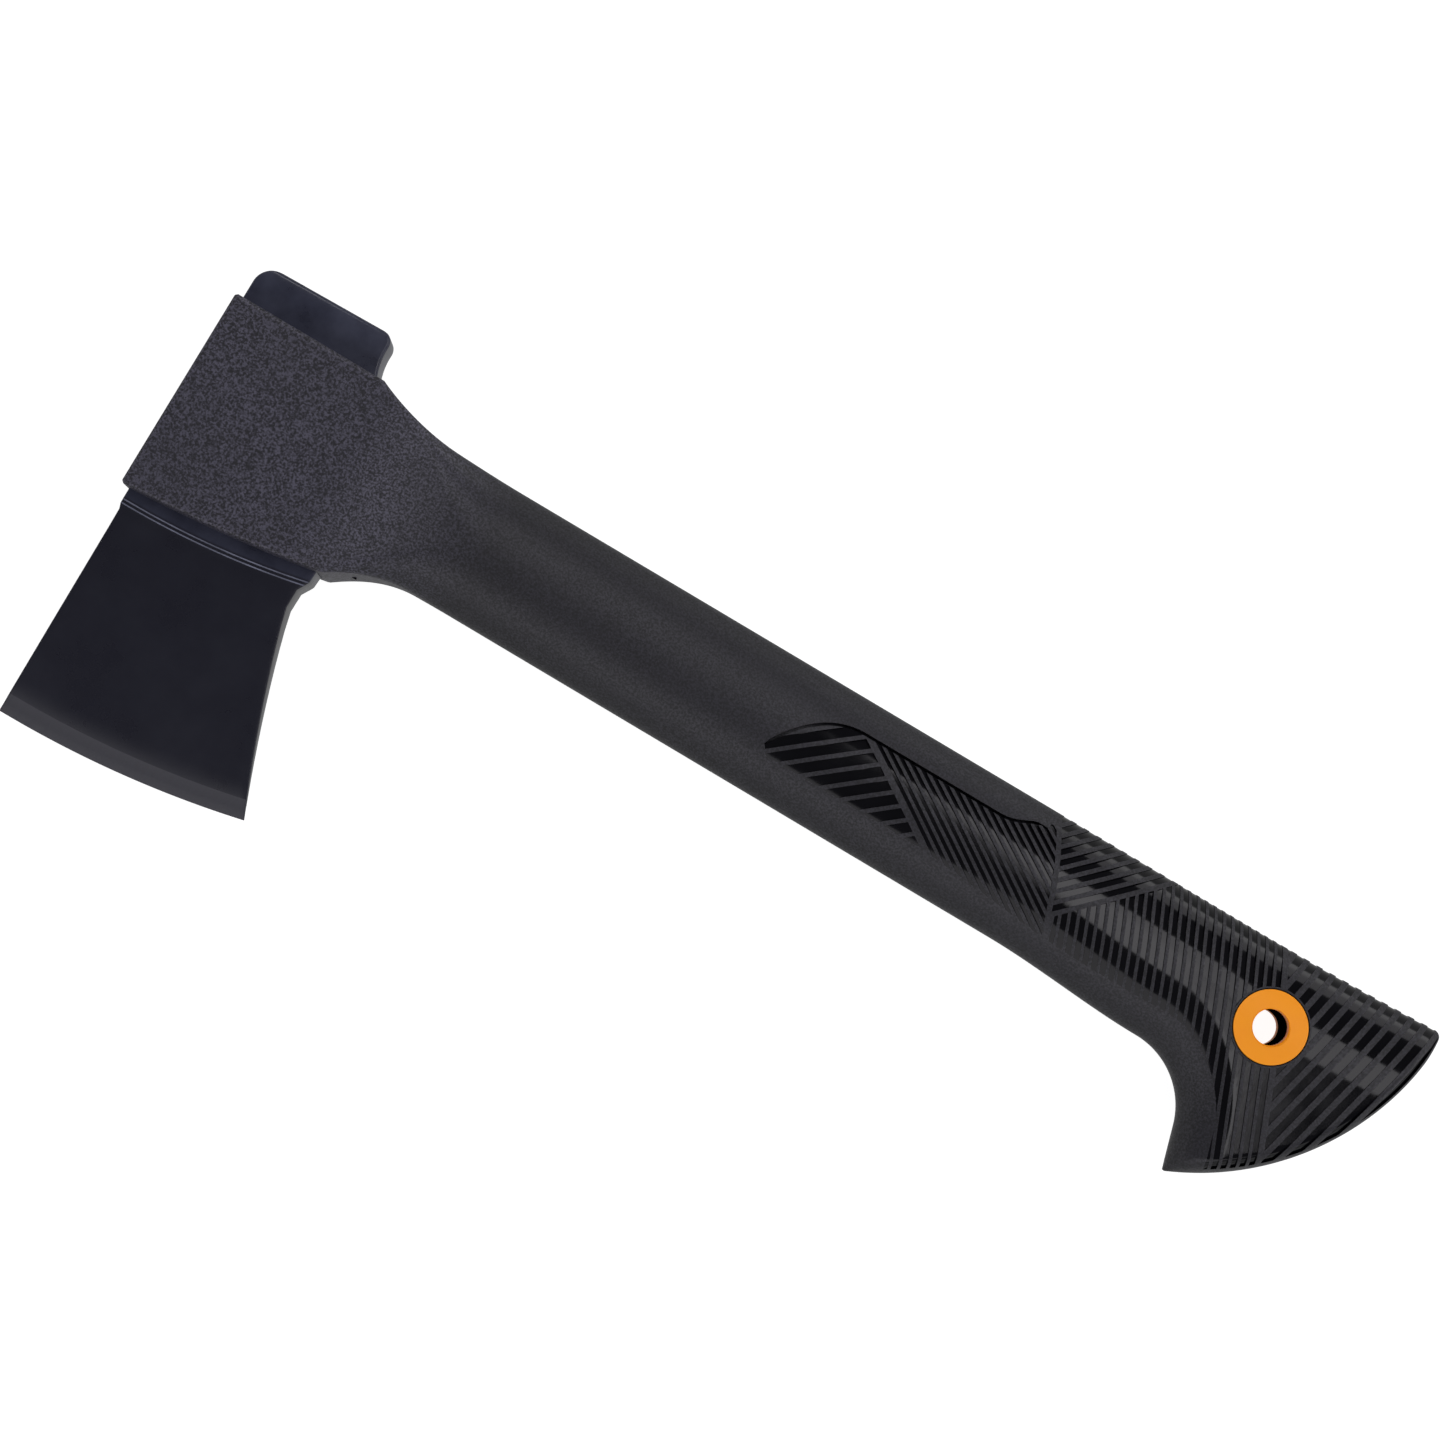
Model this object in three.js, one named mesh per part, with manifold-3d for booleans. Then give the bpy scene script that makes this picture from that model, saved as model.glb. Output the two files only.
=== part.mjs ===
// A hatchet: a forged steel head held by the collar of a hollow moulded handle.
//
// Units are millimetres and +Z is up. The tool lies on its side: +X runs from the
// head to the butt of the handle and +Y points to the poll, away from the blade.
// Shapes are drawn in a drawing frame with x = 0 at the front of the collar,
// y = 0 on the centreline of the handle and z = 0 on the mid-plane of the tool.

import * as THREE from 'three';
import { mergeVertices } from 'three/addons/utils/BufferGeometryUtils.js';
import Module from 'manifold-3d';

const wasm = await Module();
wasm.setup();

// ---- Driving dimensions ----------------------------------------------------

const OVERALL_LENGTH = 345;
const GAP = 0.3;

// Collar: the boxy front end of the handle that grips the head.
const COLLAR_TOP = 22.8;
const COLLAR_FRONT_BOTTOM = -31.1;
const COLLAR_BOTTOM_SLOPE = 0.0466;
const COLLAR_BOTTOM_BEND = 0.001285;
const COLLAR_HALF_WIDTH = 15;
const COLLAR_CORNER = 1.2;
const COLLAR_CHAMFER = 0.7;
const COLLAR_TOP_END = 42;
const COLLAR_BOTTOM_END = 53;
const COLLAR_SIDE_END = 44;

// Neck and shaft.
const NECK_TOP_END = 66;
const NECK_BOTTOM_END = 74;
const OVAL_START = 50;
const OVAL_END = 84;
const SHAFT_TOP = 17.4;
const SHAFT_BOTTOM = -17.6;
const SHAFT_HALF_WIDTH = 11.8;
const SPINE_FLARE = 1.5;
const SPINE_FLARE_START = 288;
const OVAL_SHARE = 0.95;

// Hook: the underside drops slowly, then turns down along a concave arc and a
// straight front to the tip, where the round butt begins.
const DROP_START = 238;
const HOOK_ARC = { x: 281.15, y: -39.4, radius: 19.65 };
const HOOK_FRONT_LEAN = THREE.MathUtils.degToRad(16);
const BUTT_ARC = { x: 274.75, y: 20.24, radius: 71.17 };
const BUTT_HALF_WIDTH = 11.5;
const BUTT_EDGE_ROUND = 9;
const BUTT_FLAT = 0.35;

// Grip sleeve: the ribbed skin over the rear of the handle.
const SLEEVE_THICKNESS = 2.2;
const SLEEVE_GROOVE = 0.6;
const SLEEVE_TIP = { x: 166.6, y: -5.8 };
const SLEEVE_LEVEL = 8.6;
const SLEEVE_SHOULDER = { start: 224, end: 238, y: 12.2 };
const SLEEVE_UNDERSIDE_START = 190;

// Hollow of the shaft and its vent.
const HOLLOW_WALL = 5.6;
const HOLLOW_START = 56;
const HOLLOW_END = 284;
const VENT_X = 58.5;
const VENT_PLUG_RADIUS = 1.1;
const VENT_PLUG_DEPTH = 3.6;

// Hang hole with its bush and the two rings.
const HANG_HOLE = { x: 307.1, y: -1.9 };
const HOLE_RADIUS = 4.5;
const BUSH_RADIUS = 6.5;
const BUSH_HALF_LENGTH = 8.8;
const RING_OUTER_RADIUS = 9.2;
const RING_INNER_RADIUS = 4.9;
const RING_THICKNESS = 2.1;

// Head.
const EDGE_ARC = { x: 2.1, y: 185.7, radius: 279.6 };
const BLADE_TOE_X = 1.4;
const BLADE_HEEL = { x: 66.6, y: -86.3 };
const HEEL_CURVE_CONTROL = { x: 56, y: -61.3 };
const BAND_END = { x: 51.3, y: -27.4 };
const BAND_NOTCH = { x: 48.9, top: -32.6, bottom: -35.2 };
const BAND_HALF_WIDTH = 7.5;
const BAND_RADIUS = 220.3;
const CHEEK_HALF_WIDTH = 7.2;
const CHEEK_SWELL = 0.3;
const BEVEL_LENGTH = 5;
const BEVEL_HALF_WIDTH = 1.35;
const EDGE_HALF_WIDTH = 0.15;
const POLL = {
  front: 0.8,
  rear: 39.3,
  waist: 1.5,
  waistY: 28.5,
  top: 33.4,
  halfWidth: 7.4,
  frontRound: 5.2,
  rearRound: 2.8,
};
const WEB = { front: 6, rear: 36, bottom: -38, top: 26, halfWidth: 6.2, keyX: 21, keyY: -3, keyRadius: 5 };

// ---- Solids -----------------------------------------------------------------

// A closed three.js geometry as a manifold-3d solid.
function solidFrom(geometry) {
  const bare = geometry.clone();
  bare.deleteAttribute('normal');
  bare.deleteAttribute('uv');
  const merged = mergeVertices(bare, 1e-4);
  const mesh = new wasm.Mesh({
    numProp: 3,
    vertProperties: new Float32Array(merged.attributes.position.array),
    triVerts: new Uint32Array(merged.index.array),
  });
  return new wasm.Manifold(mesh);
}

// A solid back as a three.js geometry.
function geometryFrom(solid) {
  const mesh = solid.getMesh();
  const geometry = new THREE.BufferGeometry();
  geometry.setAttribute('position', new THREE.BufferAttribute(new Float32Array(mesh.vertProperties), 3));
  geometry.setIndex(new THREE.BufferAttribute(new Uint32Array(mesh.triVerts), 1));
  geometry.computeVertexNormals();
  return geometry;
}

// A solid skinned over closed contours: each section is a list of [u, v] points, and
// place(u, v, i) puts the points of section i in space.
function loft(sections, place) {
  const count = sections[0].length;
  const last = sections.length - 1;
  const positions = sections.flatMap((section, i) => section.flatMap(([u, v]) => place(u, v, i)));
  const indices = [];
  for (let i = 0; i < last; i += 1) {
    for (let j = 0; j < count; j += 1) {
      const a = i * count + j;
      const b = i * count + ((j + 1) % count);
      indices.push(a, b, a + count, b, b + count, a + count);
    }
  }
  indices.push(...capIndices(sections[0], 0, true));
  indices.push(...capIndices(sections[last], last * count, false));
  if (signedVolume(positions, indices) < 0) {
    indices.reverse();
  }
  const geometry = new THREE.BufferGeometry();
  geometry.setAttribute('position', new THREE.Float32BufferAttribute(positions, 3));
  geometry.setIndex(indices);
  return solidFrom(geometry);
}

function capIndices(section, offset, isFirst) {
  const contour = section.map(([u, v]) => new THREE.Vector2(u, v));
  const isAnticlockwise = THREE.ShapeUtils.area(contour) > 0;
  const triangles = THREE.ShapeUtils.triangulateShape(contour, []);
  return triangles.flatMap(([a, b, c]) => {
    const corners = isFirst === isAnticlockwise ? [a, c, b] : [a, b, c];
    return corners.map((index) => index + offset);
  });
}

function signedVolume(positions, indices) {
  const corner = (index) => new THREE.Vector3().fromArray(positions, 3 * index);
  let volume = 0;
  for (let i = 0; i < indices.length; i += 3) {
    const [a, b, c] = [corner(indices[i]), corner(indices[i + 1]), corner(indices[i + 2])];
    volume += a.dot(b.cross(c)) / 6;
  }
  return volume;
}

// A side-view outline given thickness across the tool, from -halfWidth to +halfWidth.
function plate(shape, halfWidth, curveSegments = 16) {
  const geometry = new THREE.ExtrudeGeometry(shape, {
    depth: 2 * halfWidth,
    bevelEnabled: false,
    curveSegments,
  });
  geometry.translate(0, 0, -halfWidth);
  return solidFrom(geometry);
}

// A cylinder across the tool at a side-view point.
function crossCylinder(x, y, radius, zFrom, zTo, segments = 40) {
  const geometry = new THREE.CylinderGeometry(radius, radius, zTo - zFrom, segments);
  geometry.rotateX(Math.PI / 2);
  geometry.translate(x, y, (zFrom + zTo) / 2);
  return solidFrom(geometry);
}

// ---- Outline of the handle ----------------------------------------------------

const clamp01 = (value) => THREE.MathUtils.clamp(value, 0, 1);

const ease = (x, from, to) => THREE.MathUtils.smoothstep(x, from, to);

// Upper edge: down from the collar, straight along the spine, then rising to the butt.
function topEdge(x) {
  const u = clamp01((x - COLLAR_TOP_END) / (NECK_TOP_END - COLLAR_TOP_END));
  const flare = clamp01((x - SPINE_FLARE_START) / (OVERALL_LENGTH - SPINE_FLARE_START));
  return SHAFT_TOP + (COLLAR_TOP - SHAFT_TOP) * (1 - u) ** 2 + SPINE_FLARE * flare ** 2;
}

function collarBottom(x) {
  return COLLAR_FRONT_BOTTOM + COLLAR_BOTTOM_SLOPE * x + COLLAR_BOTTOM_BEND * x * x;
}

// Lower edge from the collar to the hook's tip, moved into the material by inset.
function frontEdge(x, inset) {
  if (x <= COLLAR_BOTTOM_END) {
    return collarBottom(x) + inset;
  }
  if (x <= NECK_BOTTOM_END) {
    const u = (x - COLLAR_BOTTOM_END) / (NECK_BOTTOM_END - COLLAR_BOTTOM_END);
    return SHAFT_BOTTOM + (collarBottom(COLLAR_BOTTOM_END) - SHAFT_BOTTOM) * (1 - u) ** 2 + inset;
  }
  if (x <= HOOK_ARC.x) {
    const arcTop = HOOK_ARC.y + HOOK_ARC.radius;
    return SHAFT_BOTTOM + (arcTop - SHAFT_BOTTOM) * ease(x, DROP_START, HOOK_ARC.x) + inset;
  }
  const radius = HOOK_ARC.radius + inset;
  const tangentX = HOOK_ARC.x + radius * Math.cos(HOOK_FRONT_LEAN);
  if (x <= tangentX) {
    return HOOK_ARC.y + Math.sqrt(radius ** 2 - (x - HOOK_ARC.x) ** 2);
  }
  const tangentY = HOOK_ARC.y + radius * Math.sin(HOOK_FRONT_LEAN);
  return tangentY - (x - tangentX) / Math.tan(HOOK_FRONT_LEAN);
}

function buttEdge(x, inset) {
  const radius = BUTT_ARC.radius - inset;
  return BUTT_ARC.y - Math.sqrt(Math.max(radius ** 2 - (x - BUTT_ARC.x) ** 2, 0));
}

function bottomEdge(x, inset) {
  return x < HOOK_ARC.x ? frontEdge(x, inset) : Math.max(frontEdge(x, inset), buttEdge(x, inset));
}

// Half width across the tool: flat collar, oval shaft, edge rounded at the butt.
function halfWidth(x, inset) {
  const narrowing = ease(x, COLLAR_SIDE_END, NECK_BOTTOM_END);
  const shaft = THREE.MathUtils.lerp(COLLAR_HALF_WIDTH, SHAFT_HALF_WIDTH, narrowing);
  const width = THREE.MathUtils.lerp(shaft, BUTT_HALF_WIDTH, ease(x, DROP_START, HANG_HOLE.x)) - inset;
  const toEnd = clamp01((OVERALL_LENGTH - inset - x + BUTT_FLAT) / BUTT_EDGE_ROUND);
  return width * Math.sqrt(1 - (1 - toEnd) ** 2);
}

// One cross-section of the handle as [y, z] points: a rectangle with oval corners.
function handleSection(x, inset) {
  const shrink = inset + COLLAR_CHAMFER * clamp01(1 - (x - inset) / COLLAR_CHAMFER);
  const top = topEdge(x) - shrink;
  const bottom = bottomEdge(x, inset) + shrink - inset;
  const width = halfWidth(x, shrink);
  const height = top - bottom;
  const oval = ease(x, OVAL_START, OVAL_END);
  const hook = ease(x, DROP_START, HOOK_ARC.x + HOOK_ARC.radius);
  const ovalHeight = THREE.MathUtils.lerp(OVAL_SHARE * (SHAFT_TOP - SHAFT_BOTTOM) / 2, BUTT_EDGE_ROUND, hook);
  const cornerHeight = THREE.MathUtils.lerp(COLLAR_CORNER, ovalHeight, oval);
  const cornerDepth = THREE.MathUtils.lerp(COLLAR_CORNER, OVAL_SHARE * width, oval);
  const slope = Math.max(x - BUTT_ARC.x, 0) / (BUTT_ARC.y - buttEdge(x, 0) + 1);
  const topCorner = Math.min(cornerHeight, 0.47 * height);
  const bottomCorner = Math.min(cornerHeight * Math.hypot(1, slope), 0.47 * height);
  const points = [];
  const steps = 6;
  const corners = [
    { y: top - topCorner, height: topCorner, side: 1, start: 0 },
    { y: top - topCorner, height: topCorner, side: -1, start: 0.5 },
    { y: bottom + bottomCorner, height: bottomCorner, side: -1, start: 1 },
    { y: bottom + bottomCorner, height: bottomCorner, side: 1, start: 1.5 },
  ];
  for (const corner of corners) {
    for (let k = 0; k <= steps; k += 1) {
      const angle = Math.PI * (corner.start + 0.5 * k / steps);
      const y = corner.y + corner.height * Math.sin(angle);
      const z = corner.side * (width - cornerDepth) + cornerDepth * Math.cos(angle);
      points.push([y, z]);
    }
  }
  return points;
}

// Stations along the handle: close together where its outline bends.
function handleStations(from, to) {
  const stretches = [
    [0, COLLAR_CHAMFER, 1],
    [COLLAR_CHAMFER, COLLAR_TOP_END, 3],
    [COLLAR_TOP_END, NECK_BOTTOM_END, 13],
    [NECK_BOTTOM_END, OVAL_END, 3],
    [OVAL_END, DROP_START, 4],
    [DROP_START, HOOK_ARC.x, 4],
    [HOOK_ARC.x, OVERALL_LENGTH - BUTT_EDGE_ROUND, 26],
    [OVERALL_LENGTH - BUTT_EDGE_ROUND, OVERALL_LENGTH, 7],
  ];
  const stations = [from];
  for (const [start, end, parts] of stretches) {
    for (let k = 0; k < parts; k += 1) {
      const x = THREE.MathUtils.lerp(start, end, k / parts);
      if (x > from + 0.2 && x < to - 0.2) {
        stations.push(x);
      }
    }
  }
  stations.push(to);
  return stations;
}

// The handle's outer body moved inwards by inset, from one x to another.
function handleBody(inset, from = inset, to = OVERALL_LENGTH - inset) {
  const stations = handleStations(from, to);
  const sections = stations.map((x) => handleSection(x, inset));
  return loft(sections, (y, z, i) => [stations[i], y, z]);
}

// ---- Steel head ---------------------------------------------------------------

function bladeOutline() {
  const arcY = (x) => EDGE_ARC.y - Math.sqrt(EDGE_ARC.radius ** 2 - (x - EDGE_ARC.x) ** 2);
  const startAngle = Math.atan2(arcY(BLADE_HEEL.x) - EDGE_ARC.y, BLADE_HEEL.x - EDGE_ARC.x);
  const endAngle = Math.atan2(arcY(BLADE_TOE_X) - EDGE_ARC.y, BLADE_TOE_X - EDGE_ARC.x);
  const notchMiddle = (BAND_END.y + BAND_NOTCH.top) / 2;
  const shape = new THREE.Shape();
  shape.moveTo(BLADE_TOE_X, SHAFT_BOTTOM);
  shape.lineTo(BAND_END.x, SHAFT_BOTTOM);
  shape.lineTo(BAND_END.x, BAND_END.y);
  shape.bezierCurveTo(BAND_END.x, notchMiddle, BAND_NOTCH.x, notchMiddle, BAND_NOTCH.x, BAND_NOTCH.top);
  shape.lineTo(BAND_NOTCH.x, BAND_NOTCH.bottom);
  shape.quadraticCurveTo(HEEL_CURVE_CONTROL.x, HEEL_CURVE_CONTROL.y, BLADE_HEEL.x, arcY(BLADE_HEEL.x));
  shape.absarc(EDGE_ARC.x, EDGE_ARC.y, EDGE_ARC.radius, startAngle, endAngle, true);
  shape.closePath();
  return shape;
}

// The wedge that the blade is cut from: its thickness depends on the distance from
// the centre of the cutting edge's arc, so the bevel runs parallel to the edge.
function bladeWedge() {
  const bevelRadius = EDGE_ARC.radius - BEVEL_LENGTH;
  const middleRadius = (BAND_RADIUS + bevelRadius) / 2;
  const cheekMiddle = (CHEEK_HALF_WIDTH + BEVEL_HALF_WIDTH) / 2 + CHEEK_SWELL;
  const upper = [
    [EDGE_ARC.radius + 1, EDGE_HALF_WIDTH],
    [EDGE_ARC.radius, EDGE_HALF_WIDTH],
    [bevelRadius, BEVEL_HALF_WIDTH],
    [middleRadius, cheekMiddle],
    [BAND_RADIUS + 0.4, CHEEK_HALF_WIDTH],
    [BAND_RADIUS, BAND_HALF_WIDTH],
    [BAND_RADIUS - 30, BAND_HALF_WIDTH],
  ];
  const lower = upper.map(([radius, z]) => [radius, -z]).reverse();
  const profile = [...upper, ...lower];
  const steps = 14;
  const angles = Array.from({ length: steps + 1 }, (_, k) => THREE.MathUtils.lerp(-1.62, -1.3, k / steps));
  return loft(angles.map(() => profile), (radius, z, i) => [
    EDGE_ARC.x + radius * Math.cos(angles[i]),
    EDGE_ARC.y + radius * Math.sin(angles[i]),
    z,
  ]);
}

function pollOutline() {
  const waistX = POLL.rear - POLL.waist;
  const shape = new THREE.Shape();
  shape.moveTo(POLL.front, SHAFT_TOP);
  shape.lineTo(POLL.rear, SHAFT_TOP);
  shape.lineTo(POLL.rear, COLLAR_TOP);
  shape.quadraticCurveTo(waistX, COLLAR_TOP + POLL.waist, waistX, POLL.waistY);
  shape.lineTo(waistX, POLL.top - POLL.rearRound);
  shape.quadraticCurveTo(waistX, POLL.top, waistX - POLL.rearRound, POLL.top);
  shape.lineTo(POLL.front + POLL.frontRound, POLL.top);
  shape.quadraticCurveTo(POLL.front + 1, POLL.top - 1, POLL.front, POLL.top - POLL.frontRound);
  shape.closePath();
  return shape;
}

// The web through the collar that joins poll and blade. Its key hole lets the
// handle's material pass through and lock the head. grow enlarges it all round.
function headWeb(grow) {
  const shape = new THREE.Shape();
  shape.moveTo(WEB.front - grow, WEB.bottom);
  shape.lineTo(WEB.rear + grow, WEB.bottom);
  shape.lineTo(WEB.rear + grow, WEB.top);
  shape.lineTo(WEB.front - grow, WEB.top);
  shape.closePath();
  const key = new THREE.Path();
  key.absarc(WEB.keyX, WEB.keyY, WEB.keyRadius - grow, 0, 2 * Math.PI, true);
  shape.holes.push(key);
  return plate(shape, WEB.halfWidth + grow);
}

function axeHead() {
  const around = handleBody(-GAP);
  const blade = plate(bladeOutline(), BAND_HALF_WIDTH + 1).intersect(bladeWedge()).subtract(around);
  const poll = plate(pollOutline(), POLL.halfWidth, 6).subtract(around);
  return blade.add(poll).add(headWeb(0));
}

// ---- Handle, grip and hang hole -------------------------------------------------

// Side-view region of the grip sleeve, made larger by grow at its front and upper edge.
function sleeveRegion(grow) {
  const level = SLEEVE_LEVEL + grow;
  const tipX = SLEEVE_TIP.x - grow;
  const shape = new THREE.Shape();
  shape.moveTo(tipX, SLEEVE_TIP.y);
  shape.bezierCurveTo(tipX + 5, 2.4 + grow, tipX + 11, level, tipX + 22, level);
  shape.lineTo(SLEEVE_SHOULDER.start, level);
  shape.bezierCurveTo(
    SLEEVE_SHOULDER.start + 5, level,
    SLEEVE_SHOULDER.end - 5, SLEEVE_SHOULDER.y + grow,
    SLEEVE_SHOULDER.end - grow, SLEEVE_SHOULDER.y + grow,
  );
  shape.lineTo(SLEEVE_SHOULDER.end + 3 - grow, SHAFT_TOP + 5);
  shape.lineTo(OVERALL_LENGTH + 5, SHAFT_TOP + 5);
  shape.lineTo(OVERALL_LENGTH + 5, BUTT_ARC.y - BUTT_ARC.radius);
  shape.lineTo(SLEEVE_UNDERSIDE_START - grow, BUTT_ARC.y - BUTT_ARC.radius);
  shape.lineTo(SLEEVE_UNDERSIDE_START - grow, SHAFT_BOTTOM - 1);
  shape.quadraticCurveTo(tipX + 6, SHAFT_BOTTOM + 1, tipX, SLEEVE_TIP.y);
  return plate(shape, COLLAR_HALF_WIDTH, 8);
}

function ventPlug() {
  const plug = new THREE.CylinderGeometry(VENT_PLUG_RADIUS, VENT_PLUG_RADIUS, VENT_PLUG_DEPTH, 20);
  plug.translate(VENT_X, bottomEdge(VENT_X, 0) + VENT_PLUG_DEPTH / 2, 0);
  return solidFrom(plug);
}

function ventHole() {
  const radius = VENT_PLUG_RADIUS + GAP;
  const length = 2 * HOLLOW_WALL + 4;
  const hole = new THREE.CylinderGeometry(radius, radius, length, 20);
  hole.translate(VENT_X, bottomEdge(VENT_X, 0) + HOLLOW_WALL / 2, 0);
  return solidFrom(hole);
}

function gripSleeve() {
  const window = crossCylinder(
    HANG_HOLE.x, HANG_HOLE.y, RING_OUTER_RADIUS + GAP, -COLLAR_HALF_WIDTH, COLLAR_HALF_WIDTH,
  );
  return handleBody(0, 100)
    .intersect(sleeveRegion(0))
    .subtract(handleBody(SLEEVE_THICKNESS, 90))
    .subtract(window);
}

function handleShell() {
  const sleeveSpace = handleBody(-1, 95)
    .intersect(sleeveRegion(SLEEVE_GROOVE))
    .subtract(handleBody(SLEEVE_THICKNESS + GAP, 85));
  const hollow = handleBody(HOLLOW_WALL, HOLLOW_START, HOLLOW_END);
  const bushHole = crossCylinder(
    HANG_HOLE.x, HANG_HOLE.y, BUSH_RADIUS + GAP, -COLLAR_HALF_WIDTH, COLLAR_HALF_WIDTH,
  );
  return handleBody(0)
    .subtract(sleeveSpace)
    .subtract(headWeb(GAP))
    .subtract(hollow)
    .subtract(ventHole())
    .subtract(bushHole);
}

function hangRing(side) {
  const outer = BUTT_HALF_WIDTH;
  const inner = BUTT_HALF_WIDTH - RING_THICKNESS;
  const from = side > 0 ? inner : -outer;
  const to = side > 0 ? outer : -inner;
  return crossCylinder(HANG_HOLE.x, HANG_HOLE.y, RING_OUTER_RADIUS, from, to)
    .subtract(crossCylinder(HANG_HOLE.x, HANG_HOLE.y, RING_INNER_RADIUS, from - 1, to + 1));
}

function hangHoleBush() {
  const half = BUSH_HALF_LENGTH;
  return crossCylinder(HANG_HOLE.x, HANG_HOLE.y, BUSH_RADIUS, -half, half)
    .subtract(crossCylinder(HANG_HOLE.x, HANG_HOLE.y, HOLE_RADIUS, -half - 1, half + 1));
}

// ---- Materials and scene ----------------------------------------------------------

const coatedSteel = new THREE.MeshStandardMaterial({ color: 0x23262b, roughness: 0.45, metalness: 0.6 });
const glassFibreNylon = new THREE.MeshStandardMaterial({ color: 0x3b3a3f, roughness: 0.62, metalness: 0 });
const gripNylon = new THREE.MeshStandardMaterial({ color: 0x2b2b30, roughness: 0.4, metalness: 0 });
const orangePlastic = new THREE.MeshStandardMaterial({ color: 0xf07c1e, roughness: 0.45, metalness: 0 });
const blackPlastic = new THREE.MeshStandardMaterial({ color: 0x101114, roughness: 0.5, metalness: 0 });

const hatchet = new THREE.Group();
const lowestY = EDGE_ARC.y - EDGE_ARC.radius;
hatchet.position.set(-OVERALL_LENGTH / 2, -(POLL.top + lowestY) / 2, COLLAR_HALF_WIDTH);

function addPiece(name, solid, material) {
  const mesh = new THREE.Mesh(geometryFrom(solid), material);
  mesh.name = name;
  hatchet.add(mesh);
}

addPiece('axe_head', axeHead(), coatedSteel);
addPiece('handle_shell', handleShell(), glassFibreNylon);
addPiece('grip_sleeve', gripSleeve(), gripNylon);
addPiece('hang_ring_front', hangRing(1), orangePlastic);
addPiece('hang_ring_back', hangRing(-1), orangePlastic);
addPiece('hang_hole_bush', hangHoleBush(), blackPlastic);
addPiece('vent_plug', ventPlug(), blackPlastic);

export default hatchet;
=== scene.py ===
import math

import bpy
import numpy as np
from mathutils import Matrix, Vector


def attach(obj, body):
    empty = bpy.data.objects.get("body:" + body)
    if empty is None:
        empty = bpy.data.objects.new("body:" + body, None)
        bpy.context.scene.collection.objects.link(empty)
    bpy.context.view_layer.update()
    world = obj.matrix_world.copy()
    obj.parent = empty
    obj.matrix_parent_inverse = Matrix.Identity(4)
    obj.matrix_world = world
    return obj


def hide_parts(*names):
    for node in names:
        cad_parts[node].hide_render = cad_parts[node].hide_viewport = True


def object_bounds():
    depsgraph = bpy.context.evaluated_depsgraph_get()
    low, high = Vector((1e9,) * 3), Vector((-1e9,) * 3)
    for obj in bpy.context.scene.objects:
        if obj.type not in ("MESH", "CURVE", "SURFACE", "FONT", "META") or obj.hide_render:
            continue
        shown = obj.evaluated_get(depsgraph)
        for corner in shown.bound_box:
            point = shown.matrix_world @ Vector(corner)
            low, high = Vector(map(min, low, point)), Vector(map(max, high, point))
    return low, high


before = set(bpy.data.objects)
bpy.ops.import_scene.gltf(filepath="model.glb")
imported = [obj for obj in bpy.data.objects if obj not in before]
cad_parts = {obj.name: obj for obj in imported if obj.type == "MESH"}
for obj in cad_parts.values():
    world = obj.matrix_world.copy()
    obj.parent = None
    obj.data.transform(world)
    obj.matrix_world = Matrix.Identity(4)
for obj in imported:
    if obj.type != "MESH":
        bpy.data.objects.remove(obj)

# A hatchet lying on its side, built in a drawing frame in millimetres: x runs from the front of the
# collar to the butt, y from the blade to the poll with 0 on the handle's centreline, and z across
# the tool with 0 on its mid-plane.

MM = 0.001
CAD_LOW, CAD_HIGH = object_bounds()

LENGTH = 345.0
GAP = 0.3

# Collar, neck and shaft
COLLAR_TOP = 22.8
COLLAR_FRONT_BOTTOM = -31.1
COLLAR_BOTTOM_SLOPE = 0.0466
COLLAR_BOTTOM_BEND = 0.001285
COLLAR_HALF_WIDTH = 15.0
COLLAR_CORNER = 1.0
COLLAR_CHAMFER = 0.6
COLLAR_TOP_END = 42.0
COLLAR_BOTTOM_END = 53.0
COLLAR_SIDE_END = 44.0
NECK_TOP_END = 66.0
NECK_BOTTOM_END = 74.0
OVAL_START, OVAL_END = 50.0, 84.0
SHAFT_TOP = 17.4
SPINE_FLARE, SPINE_FLARE_START = 1.5, 288.0
SHAFT_BOTTOM = -17.6
SHAFT_HALF_WIDTH = 11.8

# Hook and butt
DROP_START = 238.0
HOOK_X, HOOK_Y, HOOK_RADIUS = 281.15, -39.4, 19.65
HOOK_FRONT_LEAN = math.radians(16)
BUTT_X, BUTT_Y, BUTT_RADIUS = 274.75, 20.24, 71.17
BUTT_HALF_WIDTH = 11.5
BUTT_ROUND = 4.0
SHAFT_ROUND, REAR_ROUND, HOOK_ROUND = 17.5, 23.0, 12.0
REAR_ROUND_START, REAR_ROUND_END = 284.0, 318.0
OVAL_SHARE = 0.95
BUTT_TOP_CORNER = 2.2

# Grip
SLEEVE_THICKNESS = 2.2
SLEEVE_GROOVE = 0.75
SEAM = 0.02
SLEEVE_TIP = (166.6, -5.8)
SLEEVE_LEVEL = 8.6
SLEEVE_UNDERSIDE_START = 190.0
SLEEVE_SHOULDER = ((224, 8.6), (230, 8.6), (231.5, 11.6), (236, 12.2))
DIVIDING_RIB = ((239.4, 12.2), (241.6, 8.0), (244.2, 2.0), (246.5, -5.2))
DIVIDING_RIB_HALF_WIDTH = 0.7

# Depths of the pockets: full, along the top over the shaft, along the top of the butt, and where
# there are none, with the floor over the surface
POCKET_DEPTH, POCKET_HIGH, POCKET_HIGH_BUTT, POCKET_NONE = 0.6, 0.13, 0.22, -0.4
BUTT_RIM = 1.2
RING_RIM = 0.7

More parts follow.
